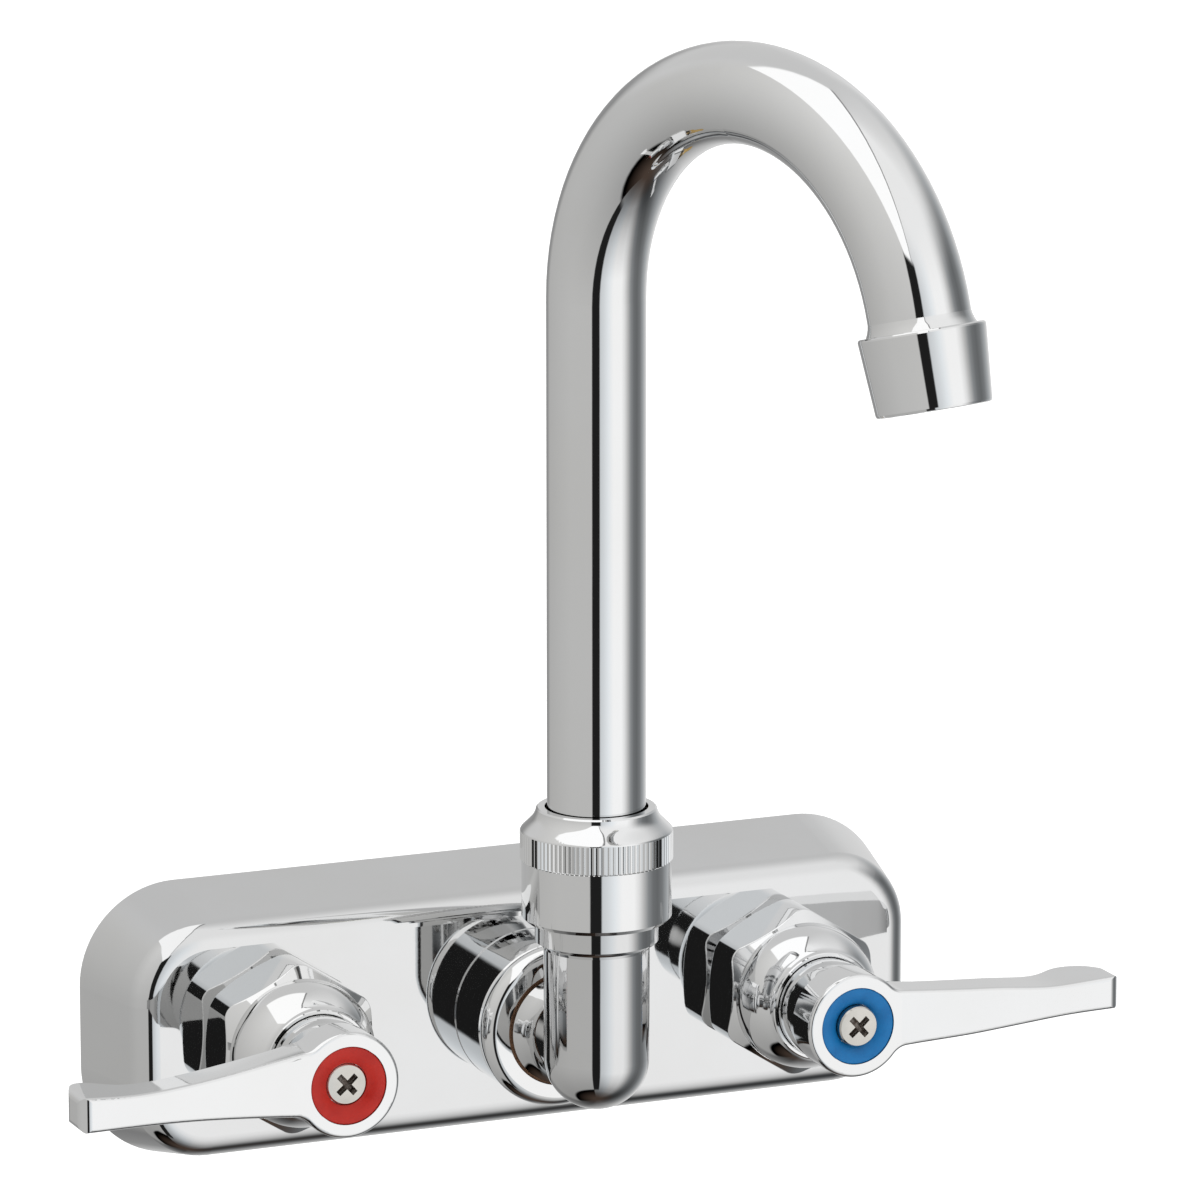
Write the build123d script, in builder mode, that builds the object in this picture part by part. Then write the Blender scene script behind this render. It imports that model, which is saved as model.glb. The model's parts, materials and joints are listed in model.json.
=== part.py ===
from build123d import *
import math
import os

os.makedirs("parts", exist_ok=True)

# Wall-mount sink faucet with two lever valves and a swing gooseneck spout.
# Millimetres. +X right seen from the front, +Y into the wall, +Z up.
# The wall face is y = 0; "out" distances below are measured from the wall toward the user (-Y).

# ---------------------------------------------------------------- driving dimensions
inlet_spacing = 101.6          # 4 inch centres of the two valves and inlets

# body casting
body_half_x = 82.2             # half size of the outline at the wall
body_half_z = 26.3
body_corner_r = 18.6
body_front = 21.5              # flat front face
body_draft = 12.8              # draft of the side walls, degrees
body_front_fillet = 4.8
body_wall = 3.2
gasket_thick = 1.2

# valve stack, radii and out distances
chamber_r = 11.02
chamber_floor = 8.5
nut_af = 28.8                  # hexagon across flats
nut_turn = 27.0                # turn of the hexagon corners
nut_corner_r = 3.5             # rounding of the hexagon corners
nut_cone_deg = 42.0            # end cones that cut the hexagon corners
nut_rear_r = 13.7              # cone radius at the body
nut_front_r = 13.9             # cone radius at the bonnet
nut_front = 33.6
bonnet_base_r = 13.8
bonnet_rim_r = 10.4
bonnet_rim_bore_r = 9.55
bonnet_front = 43.2
bonnet_floor = 37.5
sleeve_r = 11.0
sleeve_bore_r = 9.2
sleeve_rear = 15.1
stem_r = 4.0
gland_r = 4.05
hub_r = 9.9
hub_skirt_r = 9.45
hub_front = 58.1
hub_rear = 38.4
index_r = 7.3
screw_head_r = 3.85
handle_floor = 55.6            # seat of the screw head and index ring
stem_end = 54.2

# lever in the closed position, measured from the valve axis along the lever
lever_length = 52.7
# upper and lower edge of each lever in the front view: distance along the lever, height
hot_lever_top = (
    (0.0, 7.8), (9.9, 6.75), (17.8, 5.7), (26.6, 4.6), (34.5, 3.9), (40.4, 3.65), (44.5, 3.75), (48.2, 4.02), (lever_length + 3.0, 4.6)
)
hot_lever_low = ((0.0, -6.2), (9.9, -4.95), (17.9, -4.05), (29.4, -3.0), (36.1, -2.62), (44.4, -2.37), (lever_length + 3.0, -2.12))
cold_lever_top = (
    (0.0, 6.5), (9.0, 5.85), (16.0, 5.42), (22.5, 5.06), (30.0, 4.68), (36.1, 4.2), (39.7, 4.12), (42.9, 4.3), (47.3, 4.66), (lever_length + 3.0, 5.2)
)
cold_lever_low = (
    (0.0, -6.0), (9.1, -5.0), (16.4, -4.45), (22.8, -3.98), (28.4, -3.4), (36.3, -2.5), (42.3, -1.88), (48.4, -1.5), (lever_length + 3.0, -1.15)
)
lever_lean = 5.0               # the lever's front leans outward toward its tip, degrees
lever_lean_start = 9.0
lever_root_r = 4.0            # fillet between lever edge and hub in the front view
lever_thick = 6.9
# rear of the levers in plan: distance along the lever, thickness behind the leaning front
hot_lever_rear = ((52.1, 8.3), (50.8, 10.4), (49.2, 11.2), (47.6, 11.0), (46.0, 10.2), (44.2, 9.0), (41.8, 7.9), (38.5, 7.25), (33.0, 7.0), (27.5, 7.05))
cold_lever_rear = ((51.9, 6.2), (50.6, 8.3), (49.0, 10.0), (47.0, 11.0), (45.0, 11.3), (43.1, 10.8), (41.2, 9.7), (38.6, 8.6), (35.0, 8.0), (31.0, 7.7), (27.5, 7.5))
hot_lever_end = (4.38, -2.19)  # upper and lower corner of the lever's end
cold_lever_end = (5.02, -1.29)
lever_tip_r = 2.2             # rounding of the tip's front corner in plan
lever_end_r = 1.3             # rounding of the tip's upper and lower corners in the front view
lever_edge_r = 0.8            # round edges of the front

# spout
spout_out = 53.3               # distance of the swivel axis from the wall
union_r = 15.2
union_bead_r = 15.45
union_front = 37.6
elbow_r = 9.75
elbow_bottom_z = -1.3
collar_r = 11.36
collar_z0, collar_z1 = 20.7, 25.0
housing_r = 13.8
housing_top = 36.6
knurl_r = 14.07
knurl_root_r = 13.62
knurl_count = 94
knurl_top = 41.8
spout_nut_top = 46.2
spout_rim_r = 11.1
tube_r = 9.07
tube_bore_r = 7.9
tube_foot = 29.3
tube_straight_top = 140.8
bend_r1 = 42.0                 # rising quarter
bend_r2 = 44.0                 # falling part
bend_2_deg = 75.8
tube_tail = 2.85                # straight length above the aerator
spout_turn = 18.0              # spout swung toward +X from straight out

# aerator, along its own axis
aerator_len = 14.0
aerator_top_r = 11.25
aerator_end_r = 10.2
flare_len = 2.6                # cove of the tube above the aerator
flare_r = 0.67                 # its growth in radius
tube_in_aerator = 5.5

# inlets behind the wall
shank_r = 10.45
shank_bore_r = 7.0
shank_socket = 7.0             # shank end inside the casting
shank_end = 40.0
shank_relief0, shank_relief1 = 20.5, 22.0
locknut_af = 32.0
washer_y0, washer_y1 = 11.6, 13.4
locknut_y1 = 20.0

# ---------------------------------------------------------------- body casting
with BuildPart() as body_casting:
    with BuildSketch(Plane.XZ.offset(gasket_thick)):
        RectangleRounded(2 * body_half_x, 2 * body_half_z, body_corner_r)
    extrude(amount=body_front - gasket_thick, taper=body_draft)
    front_face = body_casting.faces().sort_by(Axis.Y)[0]
    fillet(front_face.edges(), radius=body_front_fillet)
    # hollow back
    with BuildSketch(Plane.XZ.offset(gasket_thick)):
        RectangleRounded(2 * (body_half_x - body_wall), 2 * (body_half_z - body_wall), body_corner_r - body_wall)
    extrude(amount=body_front - gasket_thick - 3.5, taper=body_draft, mode=Mode.SUBTRACT)
    # valve chambers and the spout boss inside the hollow
    with BuildSketch(Plane.XZ.offset(gasket_thick)):
        with GridLocations(inlet_spacing, 1, 2, 1):
            Circle(14.0)
        Circle(13.0)
    extrude(amount=body_front - gasket_thick - 3.0)
    # waterway between the chambers
    with BuildSketch(Plane.YZ.offset(-inlet_spacing / 2)):
        with Locations((-11.8, 0)):
            Circle(6.5)
    extrude(amount=inlet_spacing)
    # threaded spout boss standing out of the front face
    with BuildSketch(Plane.XZ.offset(body_front - 1.0)):
        Circle(12.4)
    extrude(amount=8.5)
    # valve chamber bores, passages and shank sockets
    with BuildSketch(Plane.XZ.offset(chamber_floor)):
        with GridLocations(inlet_spacing, 1, 2, 1):
            Circle(chamber_r)
    extrude(amount=body_front - chamber_floor + 1.0, mode=Mode.SUBTRACT)
    with BuildSketch(Plane.XZ.offset(shank_socket - 0.5)):
        with GridLocations(inlet_spacing, 1, 2, 1):
            Circle(6.0)
    extrude(amount=chamber_floor - shank_socket + 1.0, mode=Mode.SUBTRACT)
    with BuildSketch(Plane.XZ.offset(gasket_thick - 1.0)):
        with GridLocations(inlet_spacing, 1, 2, 1):
            Circle(shank_r + 0.02)
    extrude(amount=shank_socket - gasket_thick + 1.0, mode=Mode.SUBTRACT)
    # spout bore and cross bore
    with BuildSketch(Plane.XZ.offset(6.0)):
        Circle(9.15)
    extrude(amount=30.0, mode=Mode.SUBTRACT)
    with BuildSketch(Plane.YZ.offset(-inlet_spacing / 2)):
        with Locations((-11.8, 0)):
            Circle(3.2)
    extrude(amount=inlet_spacing, mode=Mode.SUBTRACT)
body_casting.part.label = "body_casting"
export_step(body_casting.part, "parts/body_casting.step")

with BuildPart() as wall_gasket:
    with BuildSketch(Plane.XZ):
        RectangleRounded(2 * body_half_x - 1.6, 2 * body_half_z - 1.6, body_corner_r - 0.8)
        with GridLocations(inlet_spacing, 1, 2, 1):
            Circle(shank_r + 0.05, mode=Mode.SUBTRACT)
    extrude(amount=gasket_thick)
wall_gasket.part.label = "wall_gasket"
export_step(wall_gasket.part, "parts/wall_gasket.step")

# ---------------------------------------------------------------- fastening behind the wall
with BuildPart() as shank_washers:
    with BuildSketch(Plane.XZ.offset(-washer_y1)):
        with GridLocations(inlet_spacing, 1, 2, 1):
            Circle(17.0)
            Circle(shank_r + 0.35, mode=Mode.SUBTRACT)
    extrude(amount=washer_y1 - washer_y0)
    chamfer(shank_washers.edges().filter_by(GeomType.CIRCLE).filter_by(lambda e: e.radius > 16), length=0.3)
shank_washers.part.label = "shank_washers"
export_step(shank_washers.part, "parts/shank_washers.step")

with BuildPart() as shank_locknuts:
    with BuildSketch(Plane.XZ.offset(-locknut_y1)):
        with GridLocations(inlet_spacing, 1, 2, 1):
            RegularPolygon(locknut_af / 2, 6, major_radius=False, rotation=12)
    extrude(amount=locknut_y1 - washer_y1)
    # chamfered hexagon corners
    for x0 in (-inlet_spacing / 2, inlet_spacing / 2):
        with BuildSketch(Plane.XY) as corner:
            with BuildLine():
                Polyline(
                    (x0 + locknut_af / 2 - 0.2, locknut_y1 + 0.5),
                    (x0 + 20.0, locknut_y1 + 0.5),
                    (x0 + 20.0, locknut_y1 - (20.0 - locknut_af / 2 + 0.2) * math.tan(math.radians(30))),
                    (x0 + locknut_af / 2 - 0.2, locknut_y1),
                    close=True,
                )
            make_face()
        revolve(axis=Axis((x0, 0, 0), (0, 1, 0)), mode=Mode.SUBTRACT)
    with BuildSketch(Plane.XZ.offset(-locknut_y1 - 1)):
        with GridLocations(inlet_spacing, 1, 2, 1):
            Circle(shank_r + 0.02)
    extrude(amount=locknut_y1 - washer_y1 + 2, mode=Mode.SUBTRACT)
shank_locknuts.part.label = "shank_locknuts"
export_step(shank_locknuts.part, "parts/shank_locknuts.step")

# ---------------------------------------------------------------- the two valves
for side, sx, lever_top, lever_low, lever_rear, lever_end, tip_depth, screw_out in (
    ("hot", -1, hot_lever_top, hot_lever_low, hot_lever_rear, hot_lever_end, 6.0, 57.3),
    ("cold", 1, cold_lever_top, cold_lever_low, cold_lever_rear, cold_lever_end, 4.2, 58.7),
):
    x0 = sx * inlet_spacing / 2
    valve_axis = Axis((x0, 0, 0), (0, -1, 0))

    # inlet shank: plain end for the supply coupling behind a thread relief
    with BuildPart() as shank:
        with BuildSketch(Plane.XY):
            with BuildLine():
                Polyline(
                    (x0 + shank_bore_r, -shank_socket),
                    (x0 + shank_r, -shank_socket),
                    (x0 + shank_r, shank_relief0),
                    (x0 + shank_r - 0.8, shank_relief0),
                    (x0 + shank_r - 0.8, shank_relief1),
                    (x0 + shank_r, shank_relief1),
                    (x0 + shank_r, shank_end - 0.8),
                    (x0 + shank_r - 0.8, shank_end),
                    (x0 + shank_bore_r, shank_end),
                    close=True,
                )
            make_face()
        revolve(axis=valve_axis)
    shank.part.label = f"{side}_inlet_shank"
    export_step(shank.part, f"parts/{side}_inlet_shank.step")

    with BuildPart() as bonnet_nut:
        with BuildSketch(Plane.XZ.offset(body_front)):
            with Locations((x0, 0)):
                hexagon = RegularPolygon(nut_af / 2, 6, major_radius=False, rotation=nut_turn)
            fillet(hexagon.vertices(), radius=nut_corner_r)
        extrude(amount=nut_front - body_front)
        # end cones
        cone = math.tan(math.radians(nut_cone_deg))
        corner_r = nut_af / 2 / math.cos(math.radians(30)) + 1.0
        with BuildSketch(Plane.XY):
            with BuildLine():
                Polyline(
                    (x0, -body_front),
                    (x0 + nut_rear_r, -body_front),
                    (x0 + corner_r, -body_front - (corner_r - nut_rear_r) * cone),
                    (x0 + corner_r, -nut_front + (corner_r - nut_front_r) * cone),
                    (x0 + nut_front_r, -nut_front),
                    (x0, -nut_front),
                    close=True,
                )
            make_face()
        revolve(axis=valve_axis, mode=Mode.INTERSECT)
        # softly polished edges between the flats and the cones
        fillet(
            bonnet_nut.edges().filter_by(
                lambda e: -nut_front + 0.1 < e.center().Y < -body_front - 0.1 and e.geom_type not in (GeomType.LINE, GeomType.CIRCLE)
            ),
            radius=0.45,
        )
        with BuildSketch(Plane.XZ.offset(body_front - 1)):
            with Locations((x0, 0)):
                Circle(sleeve_r + 0.02)
        extrude(amount=nut_front - body_front + 2, mode=Mode.SUBTRACT)
    bonnet_nut.part.label = f"{side}_bonnet_nut"
    export_step(bonnet_nut.part, f"parts/{side}_bonnet_nut.step")

    # domed bonnet with its threaded sleeve
    with BuildPart() as bonnet:
        with BuildSketch(Plane.XY):
            with BuildLine():
                Polyline(
                    (x0 + bonnet_rim_r - 0.2, -bonnet_front),
                    (x0 + bonnet_rim_bore_r + 0.2, -bonnet_front),
                    (x0 + bonnet_rim_bore_r, -bonnet_front + 0.2),
                    (x0 + bonnet_rim_bore_r, -bonnet_floor),
                    (x0 + stem_r + 0.4, -bonnet_floor),
                    (x0 + stem_r + 0.4, -34.0),
                    (x0 + sleeve_bore_r, -34.0),
                    (x0 + sleeve_bore_r, -sleeve_rear),
                    (x0 + sleeve_r, -sleeve_rear),
                    (x0 + sleeve_r, -nut_front),
                    (x0 + bonnet_base_r - 0.35, -nut_front),
                    (x0 + bonnet_base_r, -nut_front - 0.35),
                )
                # convex dome, then a small cove up to the rim
                ThreePointArc(
                    (x0 + bonnet_base_r, -nut_front - 0.35),
                    (x0 + 13.1, -38.2),
                    (x0 + 11.0, -41.5),
                )
                ThreePointArc(
                    (x0 + 11.0, -41.5),
                    (x0 + bonnet_rim_r + 0.18, -42.15),
                    (x0 + bonnet_rim_r, -bonnet_front + 0.2),
                )
                Line((x0 + bonnet_rim_r, -bonnet_front + 0.2), (x0 + bonnet_rim_r - 0.2, -bonnet_front))
            make_face()
        revolve(axis=valve_axis)
    bonnet.part.label = f"{side}_bonnet"
    export_step(bonnet.part, f"parts/{side}_bonnet.step")

    # ceramic cartridge: outer body with gland bore and side windows
    with BuildPart() as cartridge_body:
        with BuildSketch(Plane.XY):
            with BuildLine():
                Polyline(
                    (x0 + gland_r, -34.0),
                    (x0 + sleeve_bore_r - 0.05, -34.0),
                    (x0 + sleeve_bore_r - 0.05, -chamber_floor),
                    (x0 + 8.75, -chamber_floor),
                    (x0 + 8.75, -18.4),
                    (x0 + gland_r, -18.4),
                    close=True,
                )
            make_face()
        revolve(axis=valve_axis)
        with BuildSketch(Plane.YZ.offset(x0 - 12)):
            with Locations((-13.9, 0)):
                Circle(0.9)
        extrude(amount=24, mode=Mode.SUBTRACT)
    cartridge_body.part.label = f"{side}_cartridge_body"
    export_step(cartridge_body.part, f"parts/{side}_cartridge_body.step")

    with BuildPart() as seat_seal:
        with BuildSketch(Plane.XZ.offset(chamber_floor)):
            with Locations((x0, 0)):
                Circle(8.6)
                Circle(6.2, mode=Mode.SUBTRACT)
        extrude(amount=1.5)
        fillet(seat_seal.edges(), radius=0.4)
    seat_seal.part.label = f"{side}_seat_seal"
    export_step(seat_seal.part, f"parts/{side}_seat_seal.step")

    with BuildPart() as fixed_disc:
        with BuildSketch(Plane.XZ.offset(10.0)):
            with Locations((x0, 0)):
                Circle(8.7)
            with Locations((x0, 4.2), (x0, -4.2)):
                Circle(2.6, mode=Mode.SUBTRACT)
        extrude(amount=2.5)
    fixed_disc.part.label = f"{side}_fixed_disc"
    export_step(fixed_disc.part, f"parts/{side}_fixed_disc.step")

    # turning disc with the same ports a quarter turn away and a drive slot
    with BuildPart() as turning_disc:
        with BuildSketch(Plane.XZ.offset(12.55)):
            with Locations((x0, 0)):
                Circle(8.3)
            with Locations((x0 + 4.6, 0), (x0 - 4.6, 0)):
                Circle(2.4, mode=Mode.SUBTRACT)
        extrude(amount=2.55)
        with BuildSketch(Plane.XZ.offset(13.9)):
            with Locations((x0, 0)):
                Rectangle(2.2, 10.2)
        extrude(amount=2.0, mode=Mode.SUBTRACT)
    turning_disc.part.label = f"{side}_turning_disc"
    export_step(turning_disc.part, f"parts/{side}_turning_disc.step")

    # stem: drive tongue, flange, O-ring groove, square end tapped for the handle screw
    with BuildPart() as stem:
        with BuildSketch(Plane.XY):
            with BuildLine():
                Polyline(
                    (x0, -15.1),
                    (x0 + 6.5, -15.1),
                    (x0 + 6.5, -18.0),
                    (x0 + stem_r, -18.0),
                    (x0 + stem_r, -26.0),
                    (x0 + 2.9, -26.0),
                    (x0 + 2.9, -27.8),
                    (x0 + stem_r, -27.8),
                    (x0 + stem_r, -45.0),
                    (x0, -45.0),
                    close=True,
                )
            make_face()
        revolve(axis=valve_axis)
        with BuildSketch(Plane.XZ.offset(13.95)):
            with Locations((x0, 0)):
                Rectangle(2.0, 10.0)
        extrude(amount=1.5)
        with BuildSketch(Plane.XZ.offset(44.5)):
            with Locations((x0, 0)):
                RectangleRounded(5.0, 5.0, 0.4)
        extrude(amount=stem_end - 44.5)
        with BuildSketch(Plane.XZ.offset(43.0)):
            with Locations((x0, 0)):
                Circle(2.0)
        extrude(amount=20, mode=Mode.SUBTRACT)
    stem.part.label = f"{side}_stem"
    export_step(stem.part, f"parts/{side}_stem.step")

    with BuildPart() as stem_oring:
        with BuildSketch(Plane.XZ.offset(26.05)):
            with Locations((x0, 0)):
                Circle(stem_r - 0.02)
                Circle(2.92, mode=Mode.SUBTRACT)
        extrude(amount=1.7)
        fillet(stem_oring.edges(), radius=0.4)
    stem_oring.part.label = f"{side}_stem_oring"
    export_step(stem_oring.part, f"parts/{side}_stem_oring.step")

    # handle: hub and lever in one casting
    def lever_xz(points):
        return [(x0 + sx * u, z) for u, z in points]

    def lever_front(u):
        return -hub_front - max(0.0, u - lever_lean_start) * math.tan(math.radians(lever_lean))

    with BuildPart() as handle:
        # front view: lever between its two edges, joined to the hub by fillets
        with BuildSketch(Plane.XZ.offset(hub_front + 6.0)) as outline:
            with BuildLine():
                Spline(*lever_xz(lever_top))
                Line(lever_xz(lever_top)[-1], lever_xz(lever_low)[-1])
                Spline(*lever_xz(lever_low))
                Line(lever_xz(lever_low)[0], lever_xz(lever_top)[0])
            make_face()
            with Locations((x0, 0)):
                Circle(hub_r)
            fillet(outline.vertices().filter_by(lambda v: 5.0 < abs(v.X - x0) < 12.0), radius=lever_root_r)
        extrude(amount=-24)
        # plan view: leaning front, even thickness, thicker rounded tip that stands back
        rear = [(x0 + sx * u, lever_front(u) + t) for u, t in lever_rear]
        tip = (x0 + sx * lever_length, lever_front(lever_length))
        tip_rear = (tip[0], tip[1] + tip_depth)
        root_rear = (x0 + sx * 14.0, lever_front(14.0) + lever_thick)
        with BuildSketch(Plane.XY.offset(-20)):
            with BuildLine():
                Polyline(
                    rear[-1],
                    root_rear,
                    (x0 + sx * 8.0, -hub_front + lever_thick + 0.6),
                    (x0 - sx * (hub_r + 1.0), -hub_front + lever_thick + 0.6),
                    (x0 - sx * (hub_r + 1.0), -hub_front),
                    (x0 + sx * lever_lean_start, -hub_front),
                    tip,
                    tip_rear,
                )
                Spline(
                    tip_rear,
                    *rear,
                    tangents=((0.0, 1.0), (root_rear[0] - rear[-1][0], root_rear[1] - rear[-1][1])),
                )
            make_face()
        extrude(amount=40, mode=Mode.INTERSECT)

        def rounded_edge(e):
            c = e.center()
            out = abs(c.X - x0)
            if c.Y > lever_front(out) + 0.6:
                return False
            if e.geom_type == GeomType.LINE and abs((e @ 1 - e @ 0).Z) > 0.9 * e.length:
                return False
            return out > 14.2 or (c.Y < -hub_front + 0.02 and (e.length > 30.0 or e.geom_type != GeomType.LINE))

        fillet(handle.edges().filter_by(rounded_edge), radius=lever_edge_r)

        # tip: front corner rounded in plan, upper and lower corner rounded in the front view
        def corner_arc(a, b, out):
            bulge = 0.182 * math.dist(a, b) / math.hypot(*out)
            return ThreePointArc(a, ((a[0] + b[0]) / 2 + bulge * out[0], (a[1] + b[1]) / 2 + bulge * out[1]), b)

        past = tip[0] + sx * 2.0
        plan_a = (tip[0] - sx * lever_tip_r, lever_front(lever_length - lever_tip_r))
        plan_b = (tip[0], tip[1] + lever_tip_r)
        with BuildSketch(Plane.XY.offset(-20)):
            with BuildLine():
                corner_arc(plan_a, plan_b, (sx, -1.0))
                Polyline(plan_b, (past, plan_b[1]), (past, tip[1] - 2.0), (plan_a[0], tip[1] - 2.0), plan_a)
            make_face()
        extrude(amount=40, mode=Mode.SUBTRACT)
        for end_z, up in zip(lever_end, (1.0, -1.0)):
            edge_a = (tip[0] - sx * lever_end_r, end_z)
            edge_b = (tip[0], end_z - up * lever_end_r)
            with BuildSketch(Plane.XZ.offset(hub_front + 8.0)):
                with BuildLine():
                    corner_arc(edge_a, edge_b, (sx, up))
                    Polyline(edge_b, (past, edge_b[1]), (past, end_z + up * 2.0), (edge_a[0], end_z + up * 2.0), edge_a)
                make_face()
            extrude(amount=-30, mode=Mode.SUBTRACT)
        # hub, slightly drawn in toward the bonnet
        with BuildSketch(Plane.XY):
            with BuildLine():
                Polyline(
                    (x0, -hub_front + 1.5),
                    (x0 + hub_r, -hub_front + 1.5),
                    (x0 + hub_r, -52.0),
                    (x0 + hub_skirt_r, -bonnet_front - 0.4),
                    (x0 + hub_skirt_r, -hub_rear),
                    (x0, -hub_rear),
                    close=True,
                )
            make_face()
        revolve(axis=valve_axis)
        # index recess, screw hole, square broach, hollow skirt
        with BuildSketch(Plane.XZ.offset(handle_floor)):
            with Locations((x0, 0)):
                Circle(index_r + 0.05)
        extrude(amount=5, mode=Mode.SUBTRACT)
        with BuildSketch(Plane.XZ.offset(stem_end - 0.5)):
            with Locations((x0, 0)):
                Circle(2.15)
        extrude(amount=3, mode=Mode.SUBTRACT)
        with BuildSketch(Plane.XZ.offset(45.0)):
            with Locations((x0, 0)):
                RectangleRounded(5.1, 5.1, 0.4)
        extrude(amount=stem_end - 45.0, mode=Mode.SUBTRACT)
        with BuildSketch(Plane.XZ.offset(hub_rear - 1)):
            with Locations((x0, 0)):
                Circle(7.6)
        extrude(amount=45.6 - hub_rear + 1, mode=Mode.SUBTRACT)
    handle.part.label = f"{side}_handle"
    export_step(handle.part, f"parts/{side}_handle.step")

    with BuildPart() as index_ring:
        with BuildSketch(Plane.XY):
            with BuildLine():
                Polyline(
                    (x0 + screw_head_r + 0.1, -handle_floor),
                    (x0 + index_r, -handle_floor),
                    (x0 + index_r, -hub_front + 0.3),
                    (x0 + index_r - 0.2, -hub_front + 0.15),
                    (x0 + index_r - 0.5, -hub_front + 0.15),
                )
                # dished front
                Spline(
                    (x0 + index_r - 0.5, -hub_front + 0.15),
                    (x0 + 5.6, -hub_front + 0.38),
                    (x0 + 4.7, -hub_front + 0.75),
                    (x0 + screw_head_r + 0.1, -hub_front + 1.25),
                    tangents=((-1.0, 0.05), (-0.8, 1.0)),
                )
                Line((x0 + screw_head_r + 0.1, -hub_front + 1.25), (x0 + screw_head_r + 0.1, -handle_floor))
            make_face()
        revolve(axis=valve_axis)
    index_ring.part.label = f"{side}_index_ring"
    export_step(index_ring.part, f"parts/{side}_index_ring.step")

    # cross-recess screw
    with BuildPart() as handle_screw:
        with BuildSketch(Plane.XY):
            with BuildLine():
                Polyline(
                    (x0, -47.0),
                    (x0 + 1.6, -47.0),
                    (x0 + 1.95, -47.4),
                    (x0 + 1.95, -handle_floor),
                    (x0 + screw_head_r, -handle_floor),
                    (x0 + screw_head_r, -screw_out + 0.5),
                    (x0 + screw_head_r - 0.25, -screw_out + 0.22),
                )
                ThreePointArc((x0 + screw_head_r - 0.25, -screw_out + 0.22), (x0 + 2.0, -screw_out + 0.06), (x0, -screw_out))
                Line((x0, -screw_out), (x0, -47.0))
            make_face()
        revolve(axis=valve_axis)
        with BuildSketch(Plane.XZ.offset(screw_out + 0.2)):
            with Locations((x0, 0)):
                Rectangle(4.8, 1.25, rotation=42)
                Rectangle(1.25, 4.8, rotation=42)
        extrude(amount=-1.9, taper=9, mode=Mode.SUBTRACT)
    handle_screw.part.label = f"{side}_handle_screw"
    export_step(handle_screw.part, f"parts/{side}_handle_screw.step")

# ---------------------------------------------------------------- spout foot
body_axis = Axis((0, 0, 0), (0, -1, 0))
swivel_axis = Axis((0, -spout_out, 0), (0, 0, 1))
swivel_plane = Plane(origin=(0, -spout_out, 0), x_dir=(1, 0, 0), z_dir=(0, -1, 0))

with BuildPart() as spout_union_nut:
    with BuildSketch(Plane.XY):
        with BuildLine():
            Polyline(
                (13.4, -union_front + 0.15),
                (10.95, -union_front),
                (10.95, -33.5),
                (12.45, -33.5),
                (12.45, -body_front),
                (union_r - 0.4, -body_front),
                (union_r, -body_front - 0.4),
                (union_r, -33.0),
                (union_r - 0.25, -33.3),
            )
            ThreePointArc((union_r - 0.25, -33.3), (union_bead_r, -35.0), (13.4, -union_front + 0.15))
        make_face()
    revolve(axis=body_axis)
spout_union_nut.part.label = "spout_union_nut"
export_step(spout_union_nut.part, "parts/spout_union_nut.step")

with BuildPart() as spout_union_gasket:
    with BuildSketch(Plane.XZ.offset(body_front + 7.5)):
        Circle(12.2)
        Circle(9.3, mode=Mode.SUBTRACT)
    extrude(amount=1.5)
spout_union_gasket.part.label = "spout_union_gasket"
export_step(spout_union_gasket.part, "parts/spout_union_gasket.step")

# thin ring seen between the nut's lip and the elbow's neck
with BuildPart() as union_friction_ring:
    with BuildSketch(Plane.XZ.offset(33.5)):
        Circle(10.94)
        Circle(10.42, mode=Mode.SUBTRACT)
    extrude(amount=3.7)
union_friction_ring.part.label = "union_friction_ring"
export_step(union_friction_ring.part, "parts/union_friction_ring.step")

# elbow: tail in the boss, clamped flange, coved neck, vertical barrel with a round bottom, collar
with BuildPart() as spout_elbow:
    with BuildSketch(swivel_plane):
        with BuildLine():
            CenterArc((0, elbow_bottom_z), elbow_r, -90, 90)
            Polyline(
                (elbow_r, elbow_bottom_z),
                (elbow_r, collar_z0 - 1.1),
                (elbow_r + 0.1, collar_z0 - 0.6),
                (elbow_r + 0.4, collar_z0 - 0.2),
                (elbow_r + 0.9, collar_z0),
                (collar_r - 0.4, collar_z0),
                (collar_r, collar_z0 + 0.4),
                (collar_r, collar_z1 - 0.2),
                (collar_r - 0.2, collar_z1),
                (elbow_r, collar_z1),
                (elbow_r, 29.0),
                (0, 29.0),
                (0, elbow_bottom_z - elbow_r),
            )
        make_face()
    revolve(axis=swivel_axis)
    with BuildSketch(Plane.XY):
        with BuildLine():
            Polyline(
                (8.2, -42.3),
                (8.2, -spout_out),
                (0, -spout_out),
                (0, -20.5),
                (9.1, -20.5),
                (9.1, -30.5),
                (12.2, -30.5),
                (12.2, -33.5),
                (10.4, -33.5),
                (10.4, -38.2),
            )
            ThreePointArc((10.4, -38.2), (9.05, -39.7), (8.2, -42.3))
        make_face()
    revolve(axis=body_axis)
    with BuildSketch(Plane.XZ.offset(20.0)):
        Circle(6.2)
    extrude(amount=spout_out - 20.0, mode=Mode.SUBTRACT)
    with BuildSketch(Plane.XY.offset(-1.0)):
        with Locations((0, -spout_out)):
            Circle(6.5)
    extrude(amount=40, mode=Mode.SUBTRACT)
spout_elbow.part.label = "spout_elbow"
export_step(spout_elbow.part, "parts/spout_elbow.step")

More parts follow.
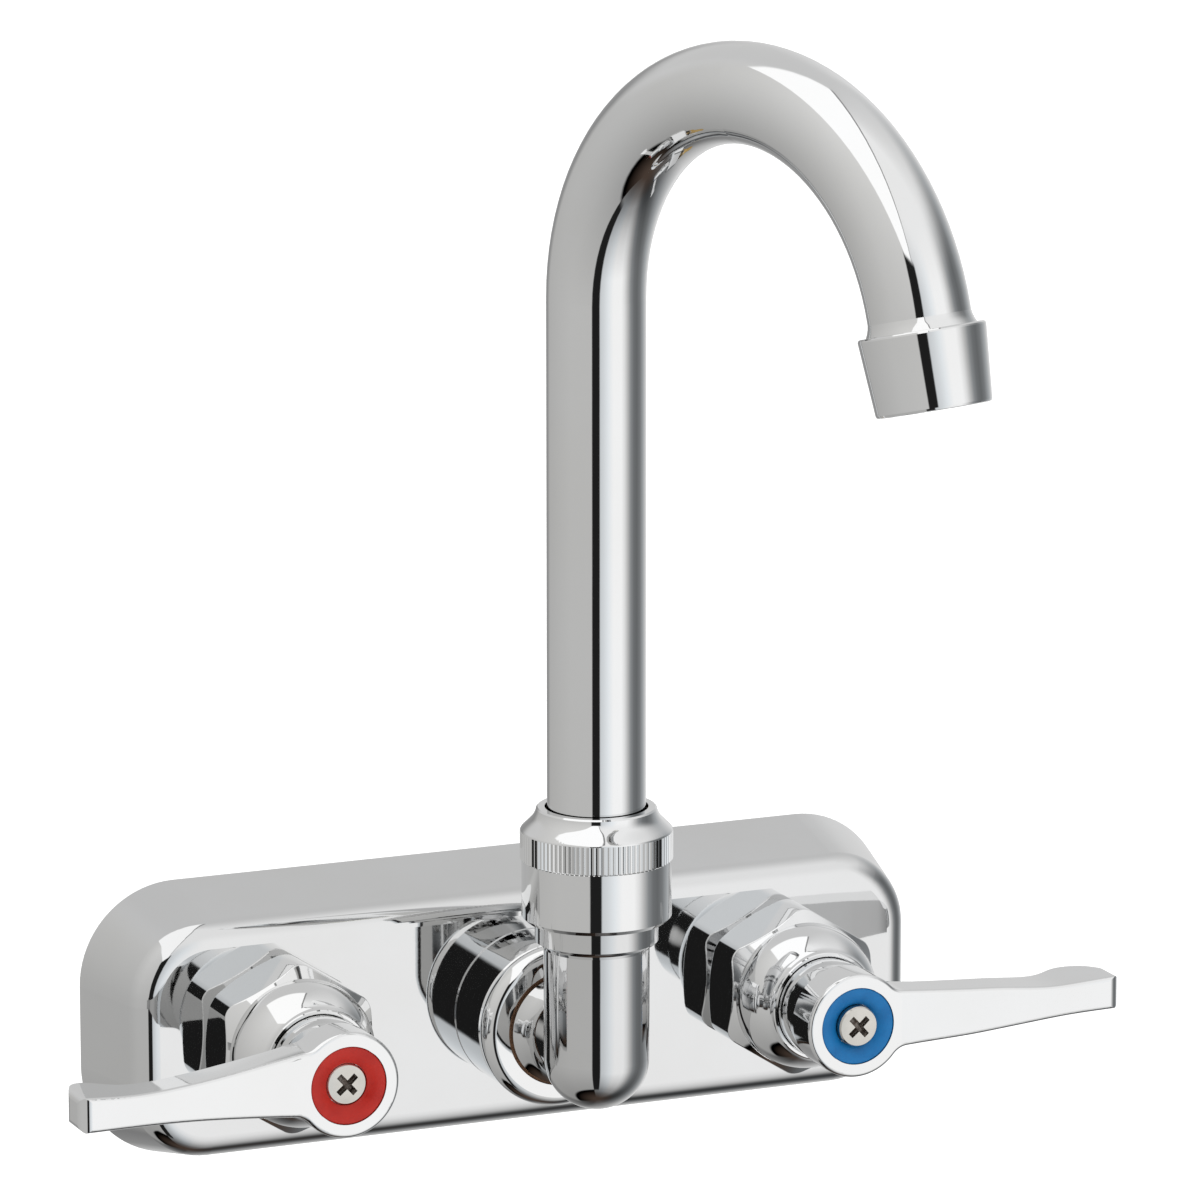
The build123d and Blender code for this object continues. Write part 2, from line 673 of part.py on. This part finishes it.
with BuildPart() as swivel_housing:
    with BuildSketch(swivel_plane):
        with BuildLine():
            Polyline(
                (elbow_r + 0.02, collar_z1),
                (housing_r - 0.8, collar_z1),
                (housing_r, collar_z1 + 0.8),
                (housing_r, housing_top - 0.2),
                (housing_r - 0.2, housing_top),
                (12.6, housing_top),
                (12.6, 40.9),
                (11.0, 40.9),
                (11.0, 29.0),
                (elbow_r + 0.02, 29.0),
                close=True,
            )
        make_face()
    revolve(axis=swivel_axis)
swivel_housing.part.label = "swivel_housing"
export_step(swivel_housing.part, "parts/swivel_housing.step")

# knurled nut with a coved shoulder
with BuildPart() as spout_nut:
    teeth = []
    for i in range(knurl_count):
        a = 2 * math.pi * i / knurl_count
        step = 2 * math.pi / knurl_count
        for frac, r in ((0.0, knurl_root_r), (0.36, knurl_r), (0.64, knurl_r)):
            teeth.append((r * math.cos(a + frac * step), r * math.sin(a + frac * step) - spout_out))
    with BuildSketch(Plane.XY.offset(housing_top)):
        with BuildLine():
            Polyline(*teeth, close=True)
        make_face()
    extrude(amount=knurl_top - housing_top)
    with BuildSketch(swivel_plane):
        with BuildLine():
            Spline(
                (knurl_r - 0.1, knurl_top),
                (knurl_r - 0.45, knurl_top + 0.55),
                (12.75, 43.2),
                (11.75, 44.3),
                (11.25, 45.3),
                (spout_rim_r, spout_nut_top - 0.3),
                tangents=((-0.1, 1.0), (-0.15, 1.0)),
            )
            Polyline(
                (spout_rim_r, spout_nut_top - 0.3),
                (spout_rim_r - 0.3, spout_nut_top),
                (0, spout_nut_top),
                (0, knurl_top - 0.6),
                (13.0, knurl_top - 0.6),
                (13.0, knurl_top),
                (knurl_r - 0.1, knurl_top),
            )
        make_face()
    revolve(axis=swivel_axis)
    with BuildSketch(Plane.XY.offset(housing_top - 1)):
        with Locations((0, -spout_out)):
            Circle(12.62)
    extrude(amount=42.1 - housing_top + 1, mode=Mode.SUBTRACT)
    with BuildSketch(Plane.XY.offset(housing_top - 1)):
        with Locations((0, -spout_out)):
            Circle(tube_r + 0.45)
    extrude(amount=20, mode=Mode.SUBTRACT)
spout_nut.part.label = "spout_nut"
export_step(spout_nut.part, "parts/spout_nut.step")

with BuildPart() as thrust_washer:
    with BuildSketch(Plane.XY.offset(40.9)):
        with Locations((0, -spout_out)):
            Circle(12.5)
            Circle(tube_r + 0.45, mode=Mode.SUBTRACT)
    extrude(amount=1.2)
thrust_washer.part.label = "thrust_washer"
export_step(thrust_washer.part, "parts/thrust_washer.step")

# ---------------------------------------------------------------- swinging spout
turn = math.radians(spout_turn)
reach = (math.sin(turn), -math.cos(turn), 0)
across = (math.cos(turn), math.sin(turn), 0)


def spout_point(s, z):
    return (reach[0] * s, -spout_out + reach[1] * s, z)


bend_2_z = tube_straight_top + bend_r1 - bend_r2
end_angle = math.radians(90 - bend_2_deg)
bend_end = spout_point(bend_r1 + bend_r2 * math.cos(end_angle), bend_2_z + bend_r2 * math.sin(end_angle))
fall = (reach[0] * math.sin(end_angle), reach[1] * math.sin(end_angle), -math.cos(end_angle))

aerator_origin = tuple(bend_end[i] + fall[i] * tube_tail for i in range(3))
aerator_axis = Axis(aerator_origin, fall)
# local x = radius, local y = along the outlet direction
aerator_plane = Plane(
    origin=aerator_origin,
    x_dir=across,
    z_dir=(
        across[1] * fall[2] - across[2] * fall[1],
        across[2] * fall[0] - across[0] * fall[2],
        across[0] * fall[1] - across[1] * fall[0],
    ),
)

with BuildPart() as spout_tube:
    with BuildSketch(Plane.XY.offset(tube_foot)):
        with Locations((0, -spout_out)):
            Circle(tube_r)
            Circle(tube_bore_r, mode=Mode.SUBTRACT)
    extrude(amount=tube_straight_top - tube_foot)
    with BuildSketch(Plane.XY.offset(tube_straight_top)):
        with Locations((0, -spout_out)):
            Circle(tube_r)
            Circle(tube_bore_r, mode=Mode.SUBTRACT)
    revolve(axis=Axis(spout_point(bend_r1, tube_straight_top), across), revolution_arc=90)
    with BuildSketch(Plane(origin=spout_point(bend_r1, tube_straight_top + bend_r1), x_dir=across, z_dir=reach)):
        Circle(tube_r)
        Circle(tube_bore_r, mode=Mode.SUBTRACT)
    revolve(axis=Axis(spout_point(bend_r1, bend_2_z), across), revolution_arc=bend_2_deg)
    with BuildSketch(Plane(origin=bend_end, x_dir=across, z_dir=fall)):
        Circle(tube_r)
        Circle(tube_bore_r, mode=Mode.SUBTRACT)
    extrude(amount=tube_tail + tube_in_aerator)
    # coved flare above the aerator
    with BuildSketch(aerator_plane):
        with BuildLine():
            Polyline(
                (tube_r + flare_r, 0),
                (tube_r - 0.4, 0),
                (tube_r - 0.4, -flare_len),
                (tube_r - 0.04, -flare_len),
            )
            ThreePointArc(
                (tube_r - 0.04, -flare_len),
                (tube_r + 0.25 * flare_r, -0.5 * flare_len),
                (tube_r + flare_r, 0),
            )
        make_face()
    revolve(axis=aerator_axis)
spout_tube.part.label = "spout_tube"
export_step(spout_tube.part, "parts/spout_tube.step")

# sleeve brazed on the tube's foot, with two seal grooves
with BuildPart() as spout_spigot:
    with BuildSketch(swivel_plane):
        with BuildLine():
            Polyline(
                (tube_r, tube_foot),
                (10.3, tube_foot),
                (10.68, tube_foot + 0.4),
                (10.68, 31.6),
                (9.9, 31.6),
                (9.9, 33.4),
                (10.68, 33.4),
                (10.68, 35.4),
                (9.9, 35.4),
                (9.9, 37.2),
                (10.68, 37.2),
                (10.68, 40.5),
                (tube_r, 40.5),
                close=True,
            )
        make_face()
    revolve(axis=swivel_axis)
spout_spigot.part.label = "spout_spigot"
export_step(spout_spigot.part, "parts/spout_spigot.step")

with BuildPart() as spout_orings:
    for z0 in (31.65, 35.45):
        with BuildSketch(Plane.XY.offset(z0)):
            with Locations((0, -spout_out)):
                Circle(10.95)
                Circle(9.92, mode=Mode.SUBTRACT)
        extrude(amount=1.7)
    fillet(spout_orings.edges(), radius=0.4)
spout_orings.part.label = "spout_orings"
export_step(spout_orings.part, "parts/spout_orings.step")

# ---------------------------------------------------------------- aerator
def along(a):
    return Plane(
        origin=tuple(aerator_origin[i] + fall[i] * a for i in range(3)), x_dir=across, z_dir=fall
    )


with BuildPart() as aerator_housing:
    with BuildSketch(aerator_plane):
        with BuildLine():
            Polyline(
                (aerator_top_r - 0.55, 0.0),
                (tube_r, 0.0),
                (tube_r, 7.0),
                (8.9, 7.0),
                (8.9, aerator_len),
                (aerator_end_r - 0.5, aerator_len),
                (aerator_end_r - 0.12, aerator_len - 0.15),
                (aerator_end_r + 0.02, aerator_len - 0.5),
                (aerator_top_r, 0.55),
                (aerator_top_r - 0.07, 0.27),
                (aerator_top_r - 0.26, 0.07),
                close=True,
            )
        make_face()
    revolve(axis=aerator_axis)
aerator_housing.part.label = "aerator_housing"
export_step(aerator_housing.part, "parts/aerator_housing.step")

with BuildPart() as aerator_washer:
    with BuildSketch(along(tube_in_aerator)):
        Circle(8.85)
        Circle(6.5, mode=Mode.SUBTRACT)
    extrude(amount=1.8)
aerator_washer.part.label = "aerator_washer"
export_step(aerator_washer.part, "parts/aerator_washer.step")

# flow straightener with a honeycomb of round passages
with BuildPart() as aerator_insert:
    with BuildSketch(along(tube_in_aerator + 1.8)):
        Circle(8.8)
        with HexLocations(1.0, 7, 7):
            Circle(0.62, mode=Mode.SUBTRACT)
    extrude(amount=aerator_len - 0.7 - tube_in_aerator - 1.8)
aerator_insert.part.label = "aerator_insert"
export_step(aerator_insert.part, "parts/aerator_insert.step")
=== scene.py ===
import json
import math

import bpy
from mathutils import Matrix, Vector


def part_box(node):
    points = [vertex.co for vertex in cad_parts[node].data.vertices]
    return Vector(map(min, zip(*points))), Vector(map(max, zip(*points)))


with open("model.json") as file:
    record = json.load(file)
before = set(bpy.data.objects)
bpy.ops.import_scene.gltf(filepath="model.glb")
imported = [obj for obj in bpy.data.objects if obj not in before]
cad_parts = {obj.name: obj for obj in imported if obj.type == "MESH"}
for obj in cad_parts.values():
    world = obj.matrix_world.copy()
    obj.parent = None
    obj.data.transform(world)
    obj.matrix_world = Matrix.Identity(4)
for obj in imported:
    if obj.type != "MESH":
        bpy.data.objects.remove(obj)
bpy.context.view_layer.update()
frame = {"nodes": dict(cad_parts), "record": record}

scene = bpy.context.scene
nodes_by_name = frame["nodes"]

# ------------------------------------------------------------------ camera
yaw = math.radians(23.0828)
pitch = math.radians(12.618)
roll = math.radians(-0.03)
fwd = Vector((math.sin(yaw) * math.cos(pitch), math.cos(yaw) * math.cos(pitch), -math.sin(pitch)))
right = Vector((math.cos(yaw), -math.sin(yaw), 0.0))
level = right.cross(fwd)
cam_x = right * math.cos(roll) + level * math.sin(roll)
cam_y = level * math.cos(roll) - right * math.sin(roll)
cam_data = bpy.data.cameras.new("photo_camera")
cam_data.sensor_fit = "HORIZONTAL"
cam_data.sensor_width = 36.0
cam_data.lens = 242.98
cam_data.clip_start = 0.05
cam_data.clip_end = 60.0
cam = bpy.data.objects.new("photo_camera", cam_data)
scene.collection.objects.link(cam)
cam.matrix_world = Matrix(
    (
        (cam_x.x, cam_y.x, -fwd.x, -0.562782),
        (cam_x.y, cam_y.y, -fwd.y, -1.375504),
        (cam_x.z, cam_y.z, -fwd.z, 0.406430),
        (0.0, 0.0, 0.0, 1.0),
    )
)
scene.camera = cam


# ------------------------------------------------------------------ node helpers
class Tree:
    def __init__(self, tree):
        self.tree = tree
        self.tree.nodes.clear()

    def node(self, kind, **settings):
        n = self.tree.nodes.new(kind)
        for key, value in settings.items():
            setattr(n, key, value)
        return n

    def link(self, a, b):
        self.tree.links.new(a, b)

    def math(self, op, a, b=None, clamp=False):
        n = self.node("ShaderNodeMath", operation=op, use_clamp=clamp)
        for socket, value in zip(n.inputs, (a, b)):
            if value is None:
                continue
            if isinstance(value, (int, float)):
                socket.default_value = value
            else:
                self.link(value, socket)
        return n.outputs[0]

    def step(self, value, low, high):
        """0 below low, 1 above high, smooth between."""
        n = self.node("ShaderNodeMapRange", interpolation_type="SMOOTHSTEP", clamp=True)
        self.link(value, n.inputs["Value"])
        n.inputs["From Min"].default_value = low
        n.inputs["From Max"].default_value = high
        return n.outputs[0]

    def product(self, *factors):
        total = factors[0]
        for f in factors[1:]:
            total = self.math("MULTIPLY", total, f)
        return total

    def less(self, value):
        return self.math("SUBTRACT", 1.0, value)

    def ramp(self, fac, stops, interpolation="LINEAR"):
        n = self.node("ShaderNodeValToRGB")
        n.color_ramp.interpolation = interpolation
        e = n.color_ramp.elements
        while len(e) < len(stops):
            e.new(0.5)
        for item, (pos, col) in zip(e, stops):
            item.position = pos
            item.color = (*col, 1.0) if len(col) == 3 else col
        self.link(fac, n.inputs[0])
        return n.outputs[0]

    def mix(self, fac, a, b, mode="MIX"):
        n = self.node("ShaderNodeMix", data_type="RGBA", blend_type=mode)
        for socket, value in ((n.inputs[0], fac), (n.inputs[6], a), (n.inputs[7], b)):
            if isinstance(value, (int, float)):
                socket.default_value = value
            elif isinstance(value, tuple):
                socket.default_value = (*value, 1.0)
            else:
                self.link(value, socket)
        return n.outputs[2]


def grey(v, tint=(1.0, 1.0, 1.0)):
    return tuple(v * t for t in tint)


# ------------------------------------------------------------------ studio surroundings
# A pale light tent round the object: grey cards on the left, a white panel in the ceiling, a tall white
# softbox to the right of the lens, a dark gap at the lens itself and another past the softbox, and a
# dark bench below.
world = bpy.data.worlds.new("studio")
scene.world = world
world.use_nodes = True
w = Tree(world.node_tree)
coord = w.node("ShaderNodeTexCoord")
split = w.node("ShaderNodeSeparateXYZ")
w.link(coord.outputs["Generated"], split.inputs[0])
dx, dy, dz = split.outputs[0], split.outputs[1], split.outputs[2]
# angle round Z from the lens side of the tent, positive to the right of the lens
across = w.math("ADD", w.math("MULTIPLY", dx, right.x), w.math("MULTIPLY", dy, right.y))
toward = w.math("ADD", w.math("MULTIPLY", dx, -math.sin(yaw)), w.math("MULTIPLY", dy, -math.cos(yaw)))
theta = w.math("MULTIPLY", w.math("ARCTAN2", across, toward), 180.0 / math.pi)
around = w.math("ADD", w.math("DIVIDE", theta, 360.0), 0.5)
elev = w.math("MULTIPLY", w.math("ARCSINE", dz), 180.0 / math.pi)
height = w.math("ADD", w.math("DIVIDE", elev, 180.0), 0.5)
# the ceiling plane, one unit above the object
overhead = w.step(dz, 0.05, 0.12)
safe_dz = w.math("MAXIMUM", dz, 0.05)
ceil_x = w.math("DIVIDE", across, safe_dz)
ceil_y = w.math("DIVIDE", toward, safe_dz)


def at(deg):
    return deg / 360.0 + 0.5


def high(deg):
    return deg / 180.0 + 0.5


warm = (1.0, 0.995, 0.98)
cool = (0.96, 1.0, 1.03)
# walls of the tent, a little below the lens height
band = w.ramp(
    around,
    [
        (at(-180), grey(0.68)),
        (at(-168), grey(0.34)),
        (at(-152), grey(0.30)),
        (at(-141), grey(0.45, warm)),
        (at(-137), grey(0.51, warm)),
        (at(-120), grey(0.535, warm)),
        (at(-100), grey(0.56, warm)),
        (at(-60), grey(0.60, warm)),
        (at(-9), grey(0.60, warm)),
        (at(7), grey(0.72, cool)),
        (at(17), grey(0.84, cool)),
        (at(28), grey(1.00, cool)),
        (at(40), grey(1.12)),
        (at(60), grey(1.12)),
        (at(69), grey(0.91)),
        (at(78), grey(0.58)),
        (at(87), grey(0.31, cool)),
        (at(97), grey(0.195, cool)),
        (at(108), grey(0.165, cool)),
        (at(121), grey(0.23, cool)),
        (at(137), grey(0.44, cool)),
        (at(164), grey(0.82)),
        (at(180), grey(0.68)),
    ],
)
left = w.product(w.step(theta, -152, -134), w.less(w.step(theta, -9.5, -7.5)))
# the left card is a little brighter higher up and ends in a crisp edge near the bench
card_rise = w.math("ADD", w.math("MULTIPLY", elev, 0.006), 1.07)
rise = w.math("ADD", w.product(left, card_rise), w.less(left))
low_card = w.step(elev, -64, -60)
low_wall = w.ramp(
    height,
    [
        (high(-90), grey(0.14)),
        (high(-80), grey(0.17)),
        (high(-73), grey(0.21)),
        (high(-62), grey(0.36)),
        (high(-52), grey(0.58)),
        (high(-42), grey(0.76)),
        (high(-24), grey(1.0)),
    ],
)
walls = w.mix(1.0, band, w.mix(left, low_wall, low_card), "MULTIPLY")
walls = w.mix(1.0, walls, rise, "MULTIPLY")
# upper right and back of the tent
far_left = w.product(w.less(w.step(theta, -134, -112)), w.step(elev, 6, 24))
upper = w.math("MAXIMUM", w.product(w.step(elev, 14, 46), w.less(left)), far_left)
top_band = w.ramp(
    around,
    [
        (at(-180), grey(0.69)),
        (at(-140), grey(0.69)),
        (at(20), grey(1.02)),
        (at(75), grey(1.02)),
        (at(120), grey(0.84)),
        (at(160), grey(0.70)),
        (at(180), grey(0.69)),
    ],
)
walls = w.mix(upper, walls, top_band)
# the dark gap the lens looks through
gap = w.product(w.step(theta, -11, -8.5), w.less(w.step(theta, 6.5, 9.5)), w.less(w.step(elev, 26, 29)), w.step(elev, -66, -60))
walls = w.mix(gap, walls, grey(0.016))
# white ceiling panel with a dark seam along its right side
panel_left = w.math("ADD", w.math("MULTIPLY", ceil_y, 0.234), -0.695)
along = w.product(overhead, w.step(ceil_y, -0.47, -0.39), w.less(w.step(ceil_y, 1.82, 1.98)))
panel = w.product(along, w.step(w.math("SUBTRACT", ceil_x, panel_left), -0.02, 0.02), w.less(w.step(ceil_x, 0.115, 0.125)))
walls = w.mix(panel, walls, grey(1.25))
seam = w.product(along, w.step(ceil_x, 0.115, 0.125), w.less(w.step(ceil_x, 0.145, 0.155)))
walls = w.mix(seam, walls, grey(0.30))
# brown bench straight below
under = w.mix(w.ramp(height, [(high(-86), grey(1.0)), (high(-66), grey(0.0))]), walls, (0.075, 0.052, 0.040))
surround = w.node("ShaderNodeBackground")
w.link(under, surround.inputs["Color"])
surround.inputs["Strength"].default_value = 1.0
plain = w.node("ShaderNodeBackground")
plain.inputs["Color"].default_value = (1.0, 1.0, 1.0, 1.0)
plain.inputs["Strength"].default_value = 1.0
path = w.node("ShaderNodeLightPath")
pick = w.node("ShaderNodeMixShader")
w.link(path.outputs["Is Camera Ray"], pick.inputs[0])
w.link(surround.outputs[0], pick.inputs[1])
w.link(plain.outputs[0], pick.inputs[2])
out = w.node("ShaderNodeOutputWorld")
w.link(pick.outputs[0], out.inputs["Surface"])

scene.view_settings.view_transform = "Standard"
scene.view_settings.look = "None"
scene.view_settings.exposure = 0.0
scene.view_settings.gamma = 1.0


# ------------------------------------------------------------------ materials
def new_material(name):
    m = bpy.data.materials.new(name)
    m.use_nodes = True
    t = Tree(m.node_tree)
    bsdf = t.node("ShaderNodeBsdfPrincipled")
    end = t.node("ShaderNodeOutputMaterial")
    t.link(bsdf.outputs[0], end.inputs["Surface"])
    return m, t, bsdf


def object_coords(t, scale=(1.0, 1.0, 1.0)):
    c = t.node("ShaderNodeTexCoord")
    mapping = t.node("ShaderNodeMapping")
    mapping.inputs["Scale"].default_value = scale
    t.link(c.outputs["Object"], mapping.inputs["Vector"])
    return mapping.outputs[0]


def noise(t, vector, scale, detail=3.0, roughness=0.55):
    n = t.node("ShaderNodeTexNoise")
    n.inputs["Scale"].default_value = scale
    n.inputs["Detail"].default_value = detail
    n.inputs["Roughness"].default_value = roughness
    t.link(vector, n.inputs["Vector"])
    return n.outputs["Fac"]


def bumped(t, bsdf, *layers):
    """Stacks bump layers (height, strength, distance) on the shader's normal."""
    last = None
    for height_out, strength, distance in layers:
        bump = t.node("ShaderNodeBump")
        bump.inputs["Strength"].default_value = strength
        bump.inputs["Distance"].default_value = distance
        t.link(height_out, bump.inputs["Height"])
        if last is not None:
            t.link(last, bump.inputs["Normal"])
        last = bump.outputs[0]
    t.link(last, bsdf.inputs["Normal"])


def chrome_material(name, base=0.78, brush=(1.0, 1.0, 1.0), wave=1.0, lines_rough=0.020):
    """Bright plate over polished brass: faint polishing haze and lines, a very slight waviness of the plate."""
    m, t, bsdf = new_material(name)
    p = object_coords(t)
    haze = noise(t, p, 90.0, 4.0)
    lines = noise(t, object_coords(t, brush), 900.0, 2.0, 0.6)
    film = noise(t, p, 26.0, 5.0, 0.6)
    t.link(
        t.ramp(film, [(0.30, grey(base - 0.012, (1.0, 1.0, 0.995))), (0.62, grey(base + 0.012, (0.995, 1.0, 1.005)))]),
        bsdf.inputs["Base Color"],
    )
    bsdf.inputs["Metallic"].default_value = 1.0
    rough = t.math("ADD", t.math("MULTIPLY", haze, 0.022), t.math("MULTIPLY", lines, lines_rough))
    t.link(t.math("ADD", rough, 0.012), bsdf.inputs["Roughness"])
    bumped(t, bsdf, (noise(t, p, 55.0, 2.0), 0.05 * wave, 0.0004), (lines, 0.03, 0.00002))
    return m


def metal_material(name, light, dark, rough_low, rough_span, brush, line_scale=700.0):
    """Machined metal with tool marks and a slightly stained surface."""
    m, t, bsdf = new_material(name)
    p = object_coords(t)
    marks = noise(t, object_coords(t, brush), line_scale, 3.0, 0.65)
    stain = noise(t, p, 70.0, 5.0, 0.6)
    t.link(t.ramp(stain, [(0.34, dark), (0.60, light)]), bsdf.inputs["Base Color"])
    bsdf.inputs["Metallic"].default_value = 1.0
    t.link(t.math("ADD", t.math("MULTIPLY", marks, rough_span), rough_low), bsdf.inputs["Roughness"])
    bumped(t, bsdf, (noise(t, p, 160.0, 2.0), 0.06, 0.0003), (marks, 0.12, 0.00004))
    return m, t, bsdf


def plastic_material(name, light, dark, rough_low, rough_span, grain=220.0, bump=0.05, specular=0.5):
    """Moulded or sintered part with mottling, a few fine scratches and uneven gloss."""
    m, t, bsdf = new_material(name)
    p = object_coords(t)
    mottle = noise(t, p, grain, 4.0, 0.6)
    scuffs = noise(t, object_coords(t, (1.0, 1.0, 9.0)), 420.0, 3.0, 0.7)
    t.link(t.ramp(mottle, [(0.32, dark), (0.64, light)]), bsdf.inputs["Base Color"])
    bsdf.inputs["Specular IOR Level"].default_value = specular
    t.link(t.math("ADD", t.math("MULTIPLY", scuffs, rough_span), rough_low), bsdf.inputs["Roughness"])
    bumped(t, bsdf, (mottle, bump, 0.0002), (scuffs, bump, 0.00003))
    return m


chrome = chrome_material("polished_chrome")
# the tube was polished round its length, which leaves faint rings near its foot
tube_chrome = chrome_material("tube_chrome", brush=(0.04, 0.04, 1.0), lines_rough=0.035)
body_chrome = chrome_material("body_chrome", base=0.70, wave=0.6)
elbow_chrome = chrome_material("elbow_chrome", base=0.67, wave=1.4)
turned = (0.05, 1.0, 0.05)
brass, _, _ = metal_material("machined_brass", (0.62, 0.43, 0.17), (0.50, 0.33, 0.12), 0.16, 0.22, turned)
washer_steel, _, _ = metal_material("washer_steel", (0.60, 0.59, 0.57), (0.50, 0.49, 0.47), 0.18, 0.20, turned)
rubber = plastic_material("seal_rubber", (0.030, 0.030, 0.031), (0.018, 0.018, 0.018), 0.55, 0.22, 300.0, 0.12, 0.35)
fibre = plastic_material("fibre_gasket", (0.20, 0.105, 0.058), (0.11, 0.055, 0.030), 0.62, 0.25, 650.0, 0.25, 0.25)
nylon = plastic_material("natural_nylon", (0.74, 0.73, 0.68), (0.66, 0.65, 0.60), 0.34, 0.22, 180.0, 0.05)
ceramic = plastic_material("alumina", (0.84, 0.83, 0.80), (0.78, 0.77, 0.73), 0.10, 0.12, 120.0, 0.02)
red = plastic_material("red_index", (0.46, 0.018, 0.010), (0.38, 0.012, 0.007), 0.24, 0.16, 260.0, 0.04, 0.28)
blue = plastic_material("blue_index", (0.006, 0.165, 0.43), (0.004, 0.125, 0.35), 0.24, 0.16, 260.0, 0.04, 0.28)


def screw_material(name, length):
    """Stainless head with painted shade, dark brown, in the cross recess; length is the screw's own, in metres."""
    m, t, bsdf = metal_material(name, (0.66, 0.64, 0.60), (0.56, 0.54, 0.50), 0.14, 0.18, turned, 900.0)
    c = t.node("ShaderNodeTexCoord")
    part = t.node("ShaderNodeSeparateXYZ")
    t.link(c.outputs["Generated"], part.inputs[0])
    off_x = t.math("SUBTRACT", part.outputs[0], 0.5)
    off_z = t.math("SUBTRACT", part.outputs[2], 0.5)
    radius = t.math("SQRT", t.math("ADD", t.math("MULTIPLY", off_x, off_x), t.math("MULTIPLY", off_z, off_z)))
    # painted shade: below the head's crown the cross recess is coloured dark brown and made less metallic, lightly
    # speckled, standing in for shade in the hollow
    recess_painted_shade = t.product(t.step(part.outputs[1], 0.00045 / length, 0.0011 / length), t.less(t.step(radius, 0.36, 0.42)))
    speck = t.step(noise(t, object_coords(t), 900.0, 4.0, 0.7), 0.35, 0.62)
    speckled_recess_shade = t.math("MULTIPLY", recess_painted_shade, t.math("ADD", t.math("MULTIPLY", speck, 0.25), 0.75))
    clean = bsdf.inputs["Base Color"].links[0].from_socket
    t.link(t.mix(speckled_recess_shade, clean, (0.075, 0.045, 0.030)), bsdf.inputs["Base Color"])
    t.link(t.less(t.math("MULTIPLY", speckled_recess_shade, 0.85)), bsdf.inputs["Metallic"])
    return m


by_slot = {
    "chrome": chrome,
    "brass": brass,
    "steel": washer_steel,
    "red_index": red,
    "blue_index": blue,
    "rubber": rubber,
    "fibre": fibre,
    "nylon": nylon,
    "ceramic": ceramic,
}
by_node = {"body_casting": body_chrome, "spout_tube": tube_chrome, "spout_elbow": elbow_chrome}
for name in ("hot_handle_screw", "cold_handle_screw"):
    low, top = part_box(name)
    by_node[name] = screw_material(name + "_steel", top[1] - low[1])
slot_of = {p["node"]: p["material_slot"] for p in frame["record"]["subparts"]}
for name, o in nodes_by_name.items():
    o.data.materials.clear()
    o.data.materials.append(by_node.get(name) or by_slot[slot_of[name]])

# ------------------------------------------------------------------ floor
mesh = bpy.data.meshes.new("floor")
mesh.from_pydata([(-9, -9, -0.30), (9, -9, -0.30), (9, 9, -0.30), (-9, 9, -0.30)], [], [(0, 1, 2, 3)])
floor = bpy.data.objects.new("floor", mesh)
scene.collection.objects.link(floor)
m, t, bsdf = new_material("pale_floor")
soft = noise(t, object_coords(t), 3.0, 2.0)
t.link(t.ramp(soft, [(0.3, grey(0.93)), (0.7, grey(0.95))]), bsdf.inputs["Base Color"])
bsdf.inputs["Roughness"].default_value = 0.8
bsdf.inputs["Specular IOR Level"].default_value = 0.0
bsdf.inputs["Emission Color"].default_value = (1.0, 1.0, 1.0, 1.0)
bsdf.inputs["Emission Strength"].default_value = 0.45
mesh.materials.append(m)
floor.visible_glossy = False
